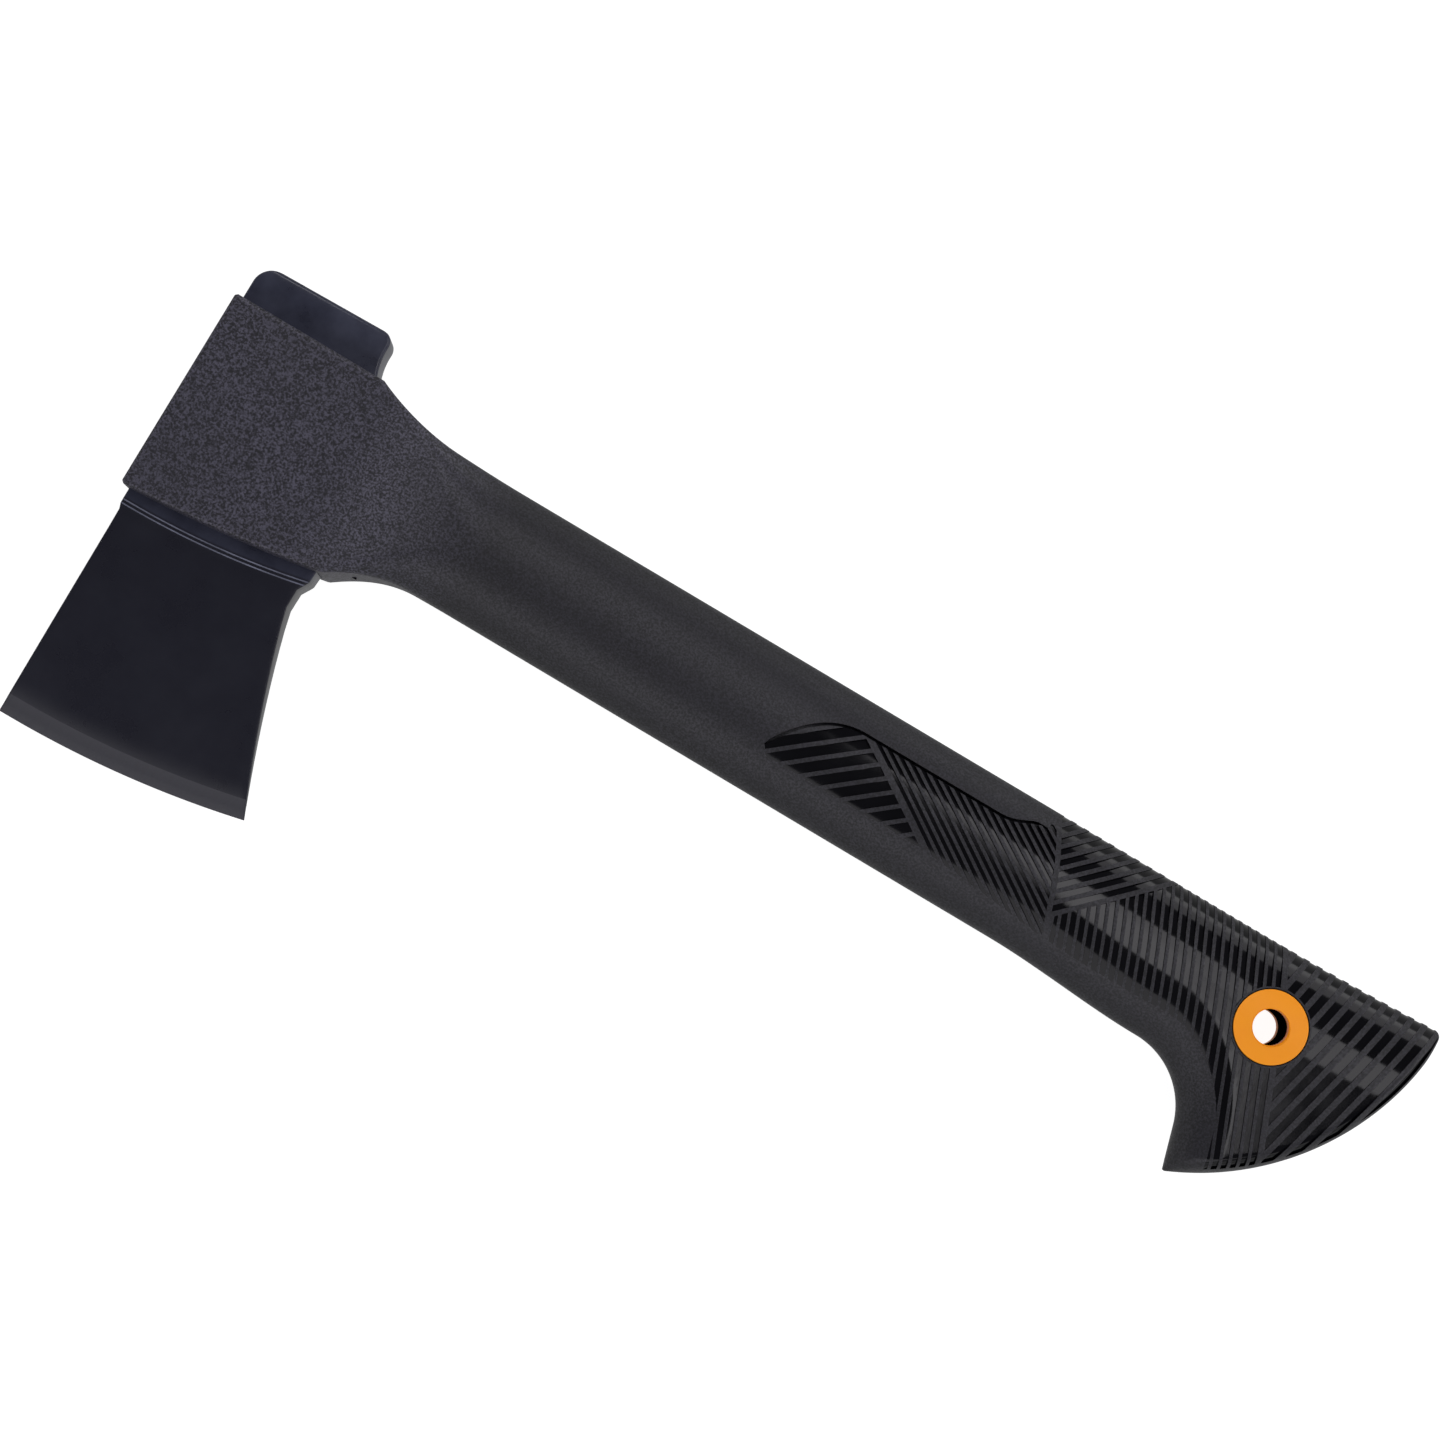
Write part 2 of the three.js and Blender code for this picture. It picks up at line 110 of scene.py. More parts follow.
# Slots of each zone of the grip: lean in degrees, pitch, width, and the offset of one slot's
# centreline from the drawing's origin, measured across the slots.
NOSE_SLOTS = (39.0, 3.58, 2.5, 1.84)
FLANK_SLOTS = (-33.0, 1.72, 0.92, 0.82)
WEDGE_SLOTS = (45.0, 2.54, 1.45, 0.2)
REAR_SLOTS = (-68.0, 2.25, 1.42, 1.0)
BUTT_SLOTS = (76.0, 3.5, 2.0, 1.38)

# Plain ribs between two zones run along the slots of one of them, from one offset to the other
NOSE_END, FLANK_START = 108.75, 110.2
WEDGE_END, REAR_START = -178.4, -179.55
REAR_END, BUTT_START = 285.45, 286.7

# Hang hole
HOLE_X, HOLE_Y = 307.1, -1.9
HOLE_RADIUS = 4.5
BUSH_RADIUS = 6.5
BUSH_HALF_LENGTH = 8.8
RING_OUTER, RING_INNER = 9.2, 4.45
RING_THICKNESS, RING_SINK = 2.1, 1.8
RING_SOFT_EDGE = ((-0.3, 8), (0, 10.75), (0.35, 11.25))
RING_BEVEL = 1.2

# Head
EDGE_X, EDGE_Y, EDGE_RADIUS = 2.1, 185.7, 279.6
TOE_X, TOE_STEP, TOE_LEAN = 1.3, 0.5, 0.009
BAND_RADII = (212.0, 216.0)
BAND_HALF_WIDTH = 7.5
BAND_BOTTOM = -35.6
BAND_END_X, BAND_END_STEP = 48.8, 2.4
HEEL_SLOPE, HEEL_BEND, HEEL_SOFTNESS = 0.2794, 0.00143, 6.0
RIDGE_1, RIDGE_2 = 219.6, 220.6
RIDGE_WIDTH, RIDGE_STEP = 0.26, 0.13
CHEEK_TAPER_END, CHEEK_BULGE = 1.35, 0.55
BEVEL_LENGTH = 5.0
BEVEL_MIDDLE_HALF_WIDTH = 0.72
EDGE_SHOULDER_HALF_WIDTH, EDGE_HALF_WIDTH = 0.13, 0.08
POLL_TOP = 33.4
POLL_TILT, POLL_TILT_X = 0.022, 6.0
POLL_FRONT, POLL_REAR = 0.8, 39.35
POLL_TOP_ROUND, POLL_FRONT_ROUND, POLL_REAR_ROUND = 0.9, 5.2, 2.9
POLL_WAIST, POLL_WAIST_HEIGHT = 1.6, 6.7
POLL_HALF_WIDTH = 7.4
POLL_CORNER = 0.8
WEB_FRONT, WEB_REAR, WEB_BOTTOM, WEB_TOP = 6, 36, -36, 26
WEB_HALF_WIDTH = 6.2

# Shading: walls sharper than this angle stay sharp, and a face whose normal is at least this close to
# the modelled surface's takes that surface's normal.
SHARP_ANGLE = math.radians(24)
SURFACE_MATCH = 0.75

# World x in metres between which the coarse grain of the collar gives way to the shaft's fine grain
COARSE_ENDS = (-0.118, -0.088)
PANEL_TINT = (0.98, 0.96, 1.0)

# Camera: its place and what it looks at, in the drawing frame
CAMERA_FOOT = (171.2, -71.1, 1050.0)
CAMERA_AIM = (154.06, -5.5, 0.0)
CAMERA_TURN = math.radians(30.75)
CAMERA_LENS = 107.15

ORIGIN = np.array([CAD_LOW[0], CAD_HIGH[1] - POLL_TOP * MM, (CAD_LOW[2] + CAD_HIGH[2]) / 2])


def to_world(points):
    return np.asarray(points, float) * MM + ORIGIN


# ---- Mesh tools ----------------------------------------------------------------------------------


def new_object(name, vertices, faces, materials=()):
    mesh = bpy.data.meshes.new(name)
    mesh.from_pydata([tuple(v) for v in to_world(vertices)], [], [tuple(f) for f in faces])
    mesh.update()
    for material in materials:
        mesh.materials.append(material)
    piece = bpy.data.objects.new(name, mesh)
    bpy.context.scene.collection.objects.link(piece)
    return piece


def loft(name, sections, materials=()):
    """A closed body through rings of points, each ring an array of [x, y, z] rows."""
    rings = np.asarray(sections, float)
    rows, count = rings.shape[:2]
    index = np.arange(rows * count).reshape(rows, count)
    following = np.roll(index, -1, axis=1)
    sides = np.stack([index[:-1], following[:-1], following[1:], index[1:]], axis=-1).reshape(-1, 4)
    vertices = rings.reshape(-1, 3)
    faces = [list(f) for f in sides] + [list(index[0][::-1]), list(index[-1])]
    if signed_volume(vertices, sides) < 0:
        faces = [f[::-1] for f in faces]
    return new_object(name, vertices, faces, materials)


def signed_volume(vertices, quads):
    a, b, c, d = (vertices[quads[:, k]] for k in range(4))
    return float((np.cross(b - a, c - a) * a).sum() + (np.cross(c - a, d - a) * a).sum())


def prism(name, outline, half_width):
    """A side-view outline of (x, y) points given thickness across the tool."""
    flat = np.asarray(outline, float)
    lower = np.column_stack([flat, np.full(len(flat), -half_width)])
    upper = np.column_stack([flat, np.full(len(flat), half_width)])
    return loft(name, [lower, upper])


def disc(x, y, radius, segments=96):
    angle = np.linspace(0, 2 * np.pi, segments, endpoint=False)
    return np.column_stack([x + radius * np.cos(angle), y + radius * np.sin(angle)])


def lathe(name, x, y, profile, segments=128, materials=()):
    """A closed profile of (radius, z) points turned about the axis across the tool at (x, y)."""
    turns = []
    for angle in np.linspace(0, 2 * np.pi, segments, endpoint=False):
        radius, z = np.asarray(profile, float).T
        turns.append(np.column_stack([x + radius * np.cos(angle), y + radius * np.sin(angle), z]))
    rings = np.array(turns)
    index = np.arange(rings.shape[0] * rings.shape[1]).reshape(rings.shape[:2])
    nxt, side = np.roll(index, -1, axis=0), np.roll(index, -1, axis=1)
    both = np.roll(nxt, -1, axis=1)
    faces = np.stack([index, side, both, nxt], axis=-1).reshape(-1, 4)
    vertices = rings.reshape(-1, 3)
    if signed_volume(vertices, faces) < 0:
        faces = faces[:, ::-1]
    return new_object(name, vertices, faces, materials)


def combine(target, tool, operation, keep_tool=False):
    """Cuts, joins or intersects target with tool, and removes the tool unless it is kept."""
    modifier = target.modifiers.new("combine", "BOOLEAN")
    modifier.operation = operation
    modifier.solver = "MANIFOLD"
    modifier.object = tool
    bpy.context.view_layer.update()
    evaluated = target.evaluated_get(bpy.context.evaluated_depsgraph_get())
    mesh = bpy.data.meshes.new_from_object(evaluated)
    target.modifiers.clear()
    old = target.data
    target.data = mesh
    bpy.data.meshes.remove(old)
    if not keep_tool:
        drop(tool)


def drop(piece):
    mesh = piece.data
    bpy.data.objects.remove(piece)
    bpy.data.meshes.remove(mesh)


def corners_of(mesh):
    """Each face corner's vertex position in the drawing frame and its face's normal."""
    coordinates = np.empty(len(mesh.vertices) * 3)
    mesh.vertices.foreach_get("co", coordinates)
    coordinates = (coordinates.reshape(-1, 3) - ORIGIN) / MM
    loop_vertex = np.empty(len(mesh.loops), int)
    mesh.loops.foreach_get("vertex_index", loop_vertex)
    totals = np.empty(len(mesh.polygons), int)
    mesh.polygons.foreach_get("loop_total", totals)
    normals = np.empty(len(mesh.polygons) * 3)
    mesh.polygons.foreach_get("normal", normals)
    return coordinates[loop_vertex], np.repeat(normals.reshape(-1, 3), totals, axis=0)


def shade(piece, normal_of=None):
    """Smooth with sharp edges, or with normal_of flat walls and the modelled surface's own normals."""
    mesh = piece.data
    mesh.shade_smooth()
    if normal_of is None:
        mesh.set_sharp_from_angle(angle=SHARP_ANGLE)
        return piece
    positions, face_normals = corners_of(mesh)
    surface_normals = normal_of(positions)
    aligned = (surface_normals * face_normals).sum(axis=1) > SURFACE_MATCH
    chosen = np.where(aligned[:, None], surface_normals, face_normals)
    mesh.normals_split_custom_set([tuple(n) for n in chosen])
    return piece


# ---- Handle's surface ----------------------------------------------------------------------------


def part_way(x, start, end):
    return np.clip((np.asarray(x, float) - start) / (end - start), 0, 1)


def ease(x, start, end):
    u = part_way(x, start, end)
    return u * u * (3 - 2 * u)


def mix(a, b, share):
    return a + (b - a) * share


def collar_bottom(x):
    return COLLAR_FRONT_BOTTOM + COLLAR_BOTTOM_SLOPE * x + COLLAR_BOTTOM_BEND * x * x


def spine_flare(x):
    """How far the spine rises toward the butt's corner."""
    return SPINE_FLARE * (np.clip(x - SPINE_FLARE_START, 0, None) / (LENGTH - SPINE_FLARE_START)) ** 2


def spine(x):
    """The top edge without the butt's corner."""
    u = part_way(x, COLLAR_TOP_END, NECK_TOP_END)
    return SHAFT_TOP + (COLLAR_TOP - SHAFT_TOP) * (1 - u) ** 2 + spine_flare(x)


def top_edge(x):
    x = np.asarray(x, float)
    past = np.clip(x - (LENGTH - BUTT_TOP_CORNER), 0, BUTT_TOP_CORNER)
    corner = BUTT_TOP_CORNER - np.sqrt(BUTT_TOP_CORNER**2 - past**2)
    return spine(x) - corner


def bottom_edge(x):
    x = np.asarray(x, float)
    u = part_way(x, COLLAR_BOTTOM_END, NECK_BOTTOM_END)
    neck = SHAFT_BOTTOM + (collar_bottom(COLLAR_BOTTOM_END) - SHAFT_BOTTOM) * (1 - u) ** 2
    shaft = mix(SHAFT_BOTTOM, HOOK_Y + HOOK_RADIUS, ease(x, DROP_START, HOOK_X))
    tangent_x = HOOK_X + HOOK_RADIUS * math.cos(HOOK_FRONT_LEAN)
    tangent_y = HOOK_Y + HOOK_RADIUS * math.sin(HOOK_FRONT_LEAN)
    on_arc = np.clip(x - HOOK_X, 0, tangent_x - HOOK_X)
    arc = HOOK_Y + np.sqrt(HOOK_RADIUS**2 - on_arc**2)
    front = tangent_y - (x - tangent_x) / math.tan(HOOK_FRONT_LEAN)
    butt = BUTT_Y - np.sqrt(np.maximum(BUTT_RADIUS**2 - (x - BUTT_X) ** 2, 0))
    hook = np.maximum(np.where(x < tangent_x, arc, front), butt)
    early = np.where(x < COLLAR_BOTTOM_END, collar_bottom(x), neck)
    return np.where(x < NECK_BOTTOM_END, early, np.where(x < HOOK_X, shaft, hook))


def handle_edges():
    """The side view's long edges in short segments: along the top, and along the underside and hook."""
    ahead, beyond = -30.0, 60.0
    top_x = np.concatenate([
        [ahead, COLLAR_TOP_END],
        np.linspace(COLLAR_TOP_END, NECK_TOP_END, 40)[1:],
        np.linspace(SPINE_FLARE_START, LENGTH + GAP, 30),
        [LENGTH + beyond],
    ])
    top = np.column_stack([top_x, spine(top_x)])
    under_x = np.concatenate([
        [ahead],
        np.linspace(0, COLLAR_BOTTOM_END, 24),
        np.linspace(COLLAR_BOTTOM_END, NECK_BOTTOM_END, 36)[1:],
        np.linspace(DROP_START, HOOK_X, 40),
    ])
    turn = np.linspace(math.pi / 2, HOOK_FRONT_LEAN, 110)
    arc = np.column_stack([HOOK_X + HOOK_RADIUS * np.cos(turn), HOOK_Y + HOOK_RADIUS * np.sin(turn)])
    tip = arc[-1] + beyond * np.array([math.sin(HOOK_FRONT_LEAN), -math.cos(HOOK_FRONT_LEAN)])
    under = np.vstack([np.column_stack([under_x, bottom_edge(under_x)]), arc[1:], [tip]])
    return top, under


TOP_LINE, UNDER_LINE = handle_edges()


def distance_to(line, x, y):
    """Distance from each point to the nearest place on a line of segments, in batches to save memory."""
    batch = 4000
    start, along = line[:-1], line[1:] - line[:-1]
    squared = (along**2).sum(axis=1)
    points = np.column_stack([np.ravel(x), np.ravel(y)])
    nearest = np.empty(len(points))
    for first in range(0, len(points), batch):
        offset = points[first:first + batch, None, :] - start
        share = np.clip((offset * along).sum(axis=2) / squared, 0, 1)
        gap = offset - share[..., None] * along
        nearest[first:first + batch] = np.sqrt((gap**2).sum(axis=2).min(axis=1))
    return nearest.reshape(np.shape(x))


def edge_distances(x, y):
    """Distances inside the top, inside the underside and hook, and inside the butt, negative outside."""
    to_top, to_under = distance_to(TOP_LINE, x, y), distance_to(UNDER_LINE, x, y)
    to_top = np.where(y <= top_edge(x), to_top, -to_top)
    to_under = np.where(y >= bottom_edge(x), to_under, -to_under)
    to_butt = BUTT_RADIUS - np.where(x > BUTT_X, np.hypot(x - BUTT_X, y - BUTT_Y), 0)
    return to_top, to_under, to_butt


def section_sizes(x):
    """Half width, depth of the rounding, and its height at the top and at the underside, at x."""
    narrowing = ease(x, COLLAR_SIDE_END, NECK_BOTTOM_END)
    neck = ease(x, OVAL_START, OVAL_END)
    rear = ease(x, REAR_ROUND_START, REAR_ROUND_END)
    shaft = mix(COLLAR_HALF_WIDTH, SHAFT_HALF_WIDTH, narrowing)
    width = mix(shaft, BUTT_HALF_WIDTH, ease(x, DROP_START, HOLE_X))
    depth = mix(COLLAR_CORNER, OVAL_SHARE * width, neck)
    top = mix(COLLAR_CORNER, mix(SHAFT_ROUND, REAR_ROUND, rear), neck)
    under = mix(COLLAR_CORNER, mix(SHAFT_ROUND, HOOK_ROUND, rear), neck)
    return width, depth, top, under


def fullness(x, y, top, under):
    """1 where the section has its full width, falling to 0 at the side view's edges."""
    share, inside = 1.0, True
    for distance, height in zip(edge_distances(x, y), (top, under, BUTT_ROUND)):
        share = share * np.abs(1 - (1 - np.minimum(distance / height, 1)) ** 2)
        inside = inside & (distance >= 0)
    return np.where(inside, share, -share)


def half_thickness(x, y):
    """z of the handle's surface: flat in the middle and an oval arc in fullness toward the edges."""
    width, depth, top, under = section_sizes(x)
    return width - depth + depth * np.sqrt(np.maximum(fullness(x, y, top, under), 0))


def handle_normal(points):
    """Outward normal of the handle's surface, or of the surface parallel to it through each point."""
    step = 0.04

    def level(x, y, z):
        width, depth, top, under = section_sizes(x)
        side = np.maximum(np.abs(z) - (width - depth), 0) / depth
        return side**2 - fullness(x, y, top, under)

    x, y, z = points.T
    gradient = np.column_stack([
        level(x + step, y, z) - level(x - step, y, z),
        level(x, y + step, z) - level(x, y - step, z),
        level(x, y, z + step) - level(x, y, z - step),
    ])
    return gradient / np.maximum(np.linalg.norm(gradient, axis=1, keepdims=True), 1e-12)


def handle_stations(fineness):
    """Where the sections are along the handle, closer together where it curves."""
    near_end = np.linspace(0, np.pi / 2, int(16 * fineness))
    return np.unique(np.concatenate([
        [0, COLLAR_CHAMFER],
        np.linspace(COLLAR_CHAMFER, COLLAR_TOP_END, int(14 * fineness)),
        np.linspace(COLLAR_TOP_END, NECK_BOTTOM_END, int(44 * fineness)),
        np.linspace(NECK_BOTTOM_END, DROP_START, int(40 * fineness)),
        np.linspace(DROP_START, HOOK_X, int(30 * fineness)),
        np.linspace(HOOK_X, LENGTH - BUTT_ROUND, int(110 * fineness)),
        LENGTH - BUTT_ROUND * (1 - np.sin(near_end)),
    ]).round(4))


def handle_body(name, depth_of=None, fineness=1.0, materials=()):
    """The handle's outer body, or with depth_of(x, y) the body that far under its surface."""
    stations = handle_stations(fineness)
    rows_across = int(44 * fineness)
    across = 0.5 - 0.5 * np.cos(np.linspace(0, np.pi, rows_across))
    chamfer = np.clip(COLLAR_CHAMFER - stations, 0, None)
    low, high = bottom_edge(stations) + chamfer, top_edge(stations) - chamfer
    y = low[:, None] + (high - low)[:, None] * across
    x = np.broadcast_to(stations[:, None], y.shape)
    z = half_thickness(x, y) - chamfer[:, None]
    upper = np.stack([x, y, z], axis=-1)
    lower = np.stack([x, y, -z], axis=-1)[:, ::-1]
    rings = np.concatenate([upper, lower], axis=1)
    if depth_of is not None:
        flat = rings.reshape(-1, 3)
        depth = depth_of(flat[:, 0], flat[:, 1])
        rings = (flat - handle_normal(flat) * depth[:, None]).reshape(rings.shape)
    return loft(name, rings, materials)


# ---- Grip pattern --------------------------------------------------------------------------------


def bezier(p0, p1, p2, p3, count=24):
    """Points along a cubic curve, from its four control points."""
    t = np.linspace(0, 1, count)[:, None]
    p0, p1, p2, p3 = (np.asarray(p, float) for p in (p0, p1, p2, p3))
    return (1 - t) ** 3 * p0 + 3 * (1 - t) ** 2 * t * p1 + 3 * (1 - t) * t * t * p2 + t**3 * p3


def sleeve_upper_edge():
    """Front and upper edge of the grip, from its tip to the start of the ribs over the top."""
    level = SLEEVE_LEVEL
    tip = SLEEVE_TIP
    nose = bezier(tip, (tip[0] + 5, 2.4), (tip[0] + 11, level), (tip[0] + 20, level), 40)
    return np.vstack([nose, bezier(*SLEEVE_SHOULDER)])


def sleeve_region(name, grow=0.0):
    """All that the grip covers in the side view, reaching past the silhouette."""
    below = BUTT_Y - BUTT_RADIUS
    right = LENGTH + 5
    start = SLEEVE_UNDERSIDE_START - grow
    over_top = [[236.6 - grow, 13.4], [236.4 - grow, SHAFT_TOP + 5]]
    under = bezier(
        (start, SHAFT_BOTTOM - 1), (184 - grow, SHAFT_BOTTOM + 1),
        (175 - grow, SHAFT_BOTTOM + 1), (SLEEVE_TIP[0] - grow, SLEEVE_TIP[1]),
    )
    box = [[right, SHAFT_TOP + 5], [right, below], [start, below]]
    upper = sleeve_upper_edge() + [0, grow]
    return prism(name, np.vstack([upper, over_top, box, under[:-1]]), COLLAR_HALF_WIDTH)


def groove_band(name):
    """A strip along the grip's front and upper edge that tapers out at both of its ends."""
    edge = sleeve_upper_edge()
    along = np.gradient(edge, axis=0)
    along /= np.linalg.norm(along, axis=1, keepdims=True)
    outward = np.column_stack([-along[:, 1], along[:, 0]])
    x = edge[:, 0]
    at_tip = ease(x, SLEEVE_TIP[0] - 0.8, SLEEVE_TIP[0] + 1.2)
    at_ribs = ease(x, 233, SLEEVE_SHOULDER[-1][0])
    taper = at_tip * (1 - 0.9 * at_ribs)
    overlap = 0.5
    outer = edge + outward * (SLEEVE_GROOVE * taper)[:, None]
    inner = edge - outward * overlap
    return prism(name, np.vstack([outer, inner[::-1]]), COLLAR_HALF_WIDTH)


def slots(name, lean, pitch, width, offset, reach=420.0):
    """Long parallel bars, one in every slot's place, across the whole side view."""
    angle = math.radians(lean)
    along = np.array([math.cos(angle), math.sin(angle)])
    across = np.array([-along[1], along[0]])
    corners = [(x, y) for x in (SLEEVE_TIP[0], LENGTH) for y in (BUTT_Y - BUTT_RADIUS, SHAFT_TOP)]
    spans = [float(np.dot(across, c)) for c in corners]
    vertices, faces = [], []
    z = COLLAR_HALF_WIDTH + 1
    first = math.floor((min(spans) - offset) / pitch)
    last = math.ceil((max(spans) - offset) / pitch)
    for k in range(first, last + 1):
        centre = across * (offset + pitch * k)
        side = across * width / 2
        base = len(vertices)
        ends = (-along * reach - side, along * reach - side, along * reach + side, -along * reach + side)
        for level in (-z, z):
            for corner in ends:
                vertices.append((*(centre + corner), level))
        faces += [[base + i for i in f] for f in (
            (3, 2, 1, 0), (4, 5, 6, 7), (0, 1, 5, 4), (1, 2, 6, 5), (2, 3, 7, 6), (3, 0, 4, 7))]
    return new_object(name, vertices, faces)


def line_x(slot_family, offset, y):
    """x of the line at an offset across a family of slots, where it passes height y."""
    angle = math.radians(slot_family[0])
    return (math.cos(angle) * y - offset) / math.sin(angle)


def pocket_depth(x, y):
    """Depth of the pocket floors: run out toward the underside and hook, shallow along the top."""
    lower = mix(-7.0, -11.0, ease(x, 205, 262))
    on_flank = mix(POCKET_NONE, POCKET_DEPTH, ease(y, lower - 3.5, lower + 2.5))
    to_under = edge_distances(x, y)[1]
    on_hook = mix(POCKET_NONE, POCKET_DEPTH, ease(to_under, 6.5, 11.0))
    over_hook = y > SHAFT_BOTTOM + 9
    depth = mix(on_flank, np.where(over_hook, POCKET_DEPTH, on_hook), ease(x, 276, 296))
    highest = mix(POCKET_HIGH, POCKET_HIGH_BUTT, ease(x, 300, 312))
    return mix(depth, np.minimum(depth, highest), ease(y, 10.5, 15.0))


def grip_zones():
    """Each zone of the grip with its slots, as side-view outlines that reach past the silhouette."""
    high, low, deep = SHAFT_TOP + 7, SHAFT_BOTTOM - 7, BUTT_Y - BUTT_RADIUS - 9
    ahead = SLEEVE_TIP[0] - 3
    nose_end = lambda y: (line_x(FLANK_SLOTS, NOSE_END, y), y)
    flank_start = lambda y: (line_x(FLANK_SLOTS, FLANK_START, y), y)
    wedge_end = lambda y: (line_x(WEDGE_SLOTS, WEDGE_END, y), y)
    rear_start = lambda y: (line_x(WEDGE_SLOTS, REAR_START, y), y)
    rear_end = lambda y: (line_x(REAR_SLOTS, REAR_END, y), y)
    butt_start = lambda y: (line_x(REAR_SLOTS, BUTT_START, y), y)
    rib = bezier(*DIVIDING_RIB, 12)
    half_rib = [DIVIDING_RIB_HALF_WIDTH, 0]
    return {
        "nose": (NOSE_SLOTS, [(ahead, 12), nose_end(12), nose_end(low), (ahead, low)]),
        "flank": (FLANK_SLOTS, [
            flank_start(13.6), (238.2, 13.6), *(rib - half_rib),
            (250.9, -18.0), (253.0, low), flank_start(low),
        ]),
        "wedge": (WEDGE_SLOTS, [
            (237.2, high), (237.8, 17.5), *(rib + half_rib), wedge_end(-5.4), wedge_end(high),
        ]),
        "rear": (REAR_SLOTS, [
            rear_start(high), rear_start(-5.6), (252.4, -18.0),
            (256.0, deep), rear_end(deep), rear_end(high),
        ]),
        "butt": (BUTT_SLOTS, [butt_start(high), butt_start(deep), (LENGTH + 9, deep), (LENGTH + 9, high)]),
    }


def heel_x(y):
    """The blade's heel side: the band's end, a notch under it, then the flare to the heel."""
    v = BAND_BOTTOM - np.asarray(y, float)
    soft = (v + np.sqrt(v * v + HEEL_SOFTNESS)) / 2
    flare = HEEL_SLOPE * soft
    return BAND_END_X + flare + HEEL_BEND * soft**2 + BAND_END_STEP * ease(y, -33.0, -27.2)


def toe_x(y):
    """The blade's front side, nearly straight, with a small step under the band."""
    down = -np.asarray(y, float)
    below = np.clip(down - 37.0, 0, None)
    return TOE_X + TOE_STEP * ease(down, -BAND_BOTTOM, 36.8) - TOE_LEAN * below


def blade_profile():
    """Half thickness of the blade against the distance from the centre of its edge's arc."""
    half, run, dip = BAND_HALF_WIDTH, 0.04, 0.01
    rows = [(radius, half) for radius in BAND_RADII]
    for start in (RIDGE_1, RIDGE_2):
        end, foot = start + RIDGE_WIDTH, half - RIDGE_STEP
        rows += [(start - run, half), (start, half - dip), (end, foot), (end + run, foot - dip)]
        half -= RIDGE_STEP + 2 * dip
    bevel_start = EDGE_RADIUS - BEVEL_LENGTH
    for share in np.linspace(0.02, 1, 12):
        radius = mix(RIDGE_2 + 0.6, bevel_start, share)
        rows.append((radius, mix(half, CHEEK_TAPER_END, share) + CHEEK_BULGE * share * (1 - share)))
    rows.append((bevel_start + 0.08, CHEEK_TAPER_END - 0.03))
    rows.append((mix(bevel_start, EDGE_RADIUS, 0.5), BEVEL_MIDDLE_HALF_WIDTH))
    rows += [(EDGE_RADIUS - 0.08, EDGE_SHOULDER_HALF_WIDTH), (EDGE_RADIUS, EDGE_HALF_WIDTH)]
    return rows


def blade_body(name, grow=0.0, materials=()):
    """Rows parallel to the cutting edge, each from the toe side to the heel side and back."""
    first_guess = 52.0, 1.5
    near = np.array([0, 0.03, 0.1, 0.2, 0.34, 0.5])
    rings = []
    for radius, half in blade_profile():
        x_end, x_start = first_guess
        for _ in range(12):
            x_end = float(heel_x(EDGE_Y - math.sqrt(radius**2 - (x_end - EDGE_X) ** 2)))
            x_start = float(toe_x(EDGE_Y - math.sqrt(radius**2 - (x_start - EDGE_X) ** 2)))
        span = x_end - x_start
        inner = np.linspace(near[-1], span - near[-1], 40)[1:-1]
        offset = np.concatenate([near, inner, span - near[::-1]])
        to_side = np.minimum(offset, span - offset)
        rounding = min(near[-1], half)
        u = np.clip(to_side / near[-1], 0, 1)
        z = half + grow - rounding * (1 - np.sqrt(1 - (1 - u) ** 2))
        x = x_start - grow + offset * (span + 2 * grow) / span
        y = EDGE_Y - np.sqrt(radius**2 - (x - EDGE_X) ** 2)
        upper = np.column_stack([x, y, z])
        lower = np.column_stack([x, y, -z])[::-1]
        rings.append(np.vstack([upper, lower]))
    return loft(name, rings, materials)


def rounded_rectangle(low_x, high_x, half_z, radius, y, steps=6):
    """A level section at height y with rounded corners."""
    corners = [(high_x, half_z, 0), (low_x, half_z, 1), (low_x, -half_z, 2), (high_x, -half_z, 3)]
    ring = []
    for corner_x, corner_z, quarter in corners:
        centre_x = corner_x - radius if quarter in (0, 3) else corner_x + radius
        centre_z = corner_z - radius if corner_z > 0 else corner_z + radius
        for k in range(steps + 1):
            angle = math.pi / 2 * (quarter + k / steps)
            ring.append((centre_x + radius * math.cos(angle), y, centre_z + radius * math.sin(angle)))
    return np.array(ring)


def poll_body(name, grow=0.0):
    """Rows up the poll from inside the collar, its striking face rising a little to the rear."""

    def drawn_in(rounding, y):
        rise = np.clip(1 - (POLL_TOP - y) / rounding, 0, 1)
        return rounding * (1 - math.sqrt(1 - rise**2))

    rings = []
    heights = np.concatenate([
        np.linspace(SHAFT_TOP, POLL_TOP - POLL_FRONT_ROUND, 12),
        POLL_TOP - POLL_FRONT_ROUND * (1 - np.sin(np.linspace(0, np.pi / 2, 26)))[1:],
    ])
    for y in heights:
        waist = POLL_WAIST * (1 - np.clip(1 - (y - COLLAR_TOP) / POLL_WAIST_HEIGHT, 0, 1) ** 2)
        front = POLL_FRONT + drawn_in(POLL_FRONT_ROUND, y)
        rear = POLL_REAR - waist - drawn_in(POLL_REAR_ROUND, y)
        half = POLL_HALF_WIDTH - drawn_in(POLL_TOP_ROUND, y)
        ring = rounded_rectangle(front - grow, rear + grow, half + grow, POLL_CORNER, y)
        ring[:, 1] += POLL_TILT * (ring[:, 0] - POLL_TILT_X) * part_way(y, COLLAR_TOP, POLL_TOP)
        rings.append(ring)
    return loft(name, rings)


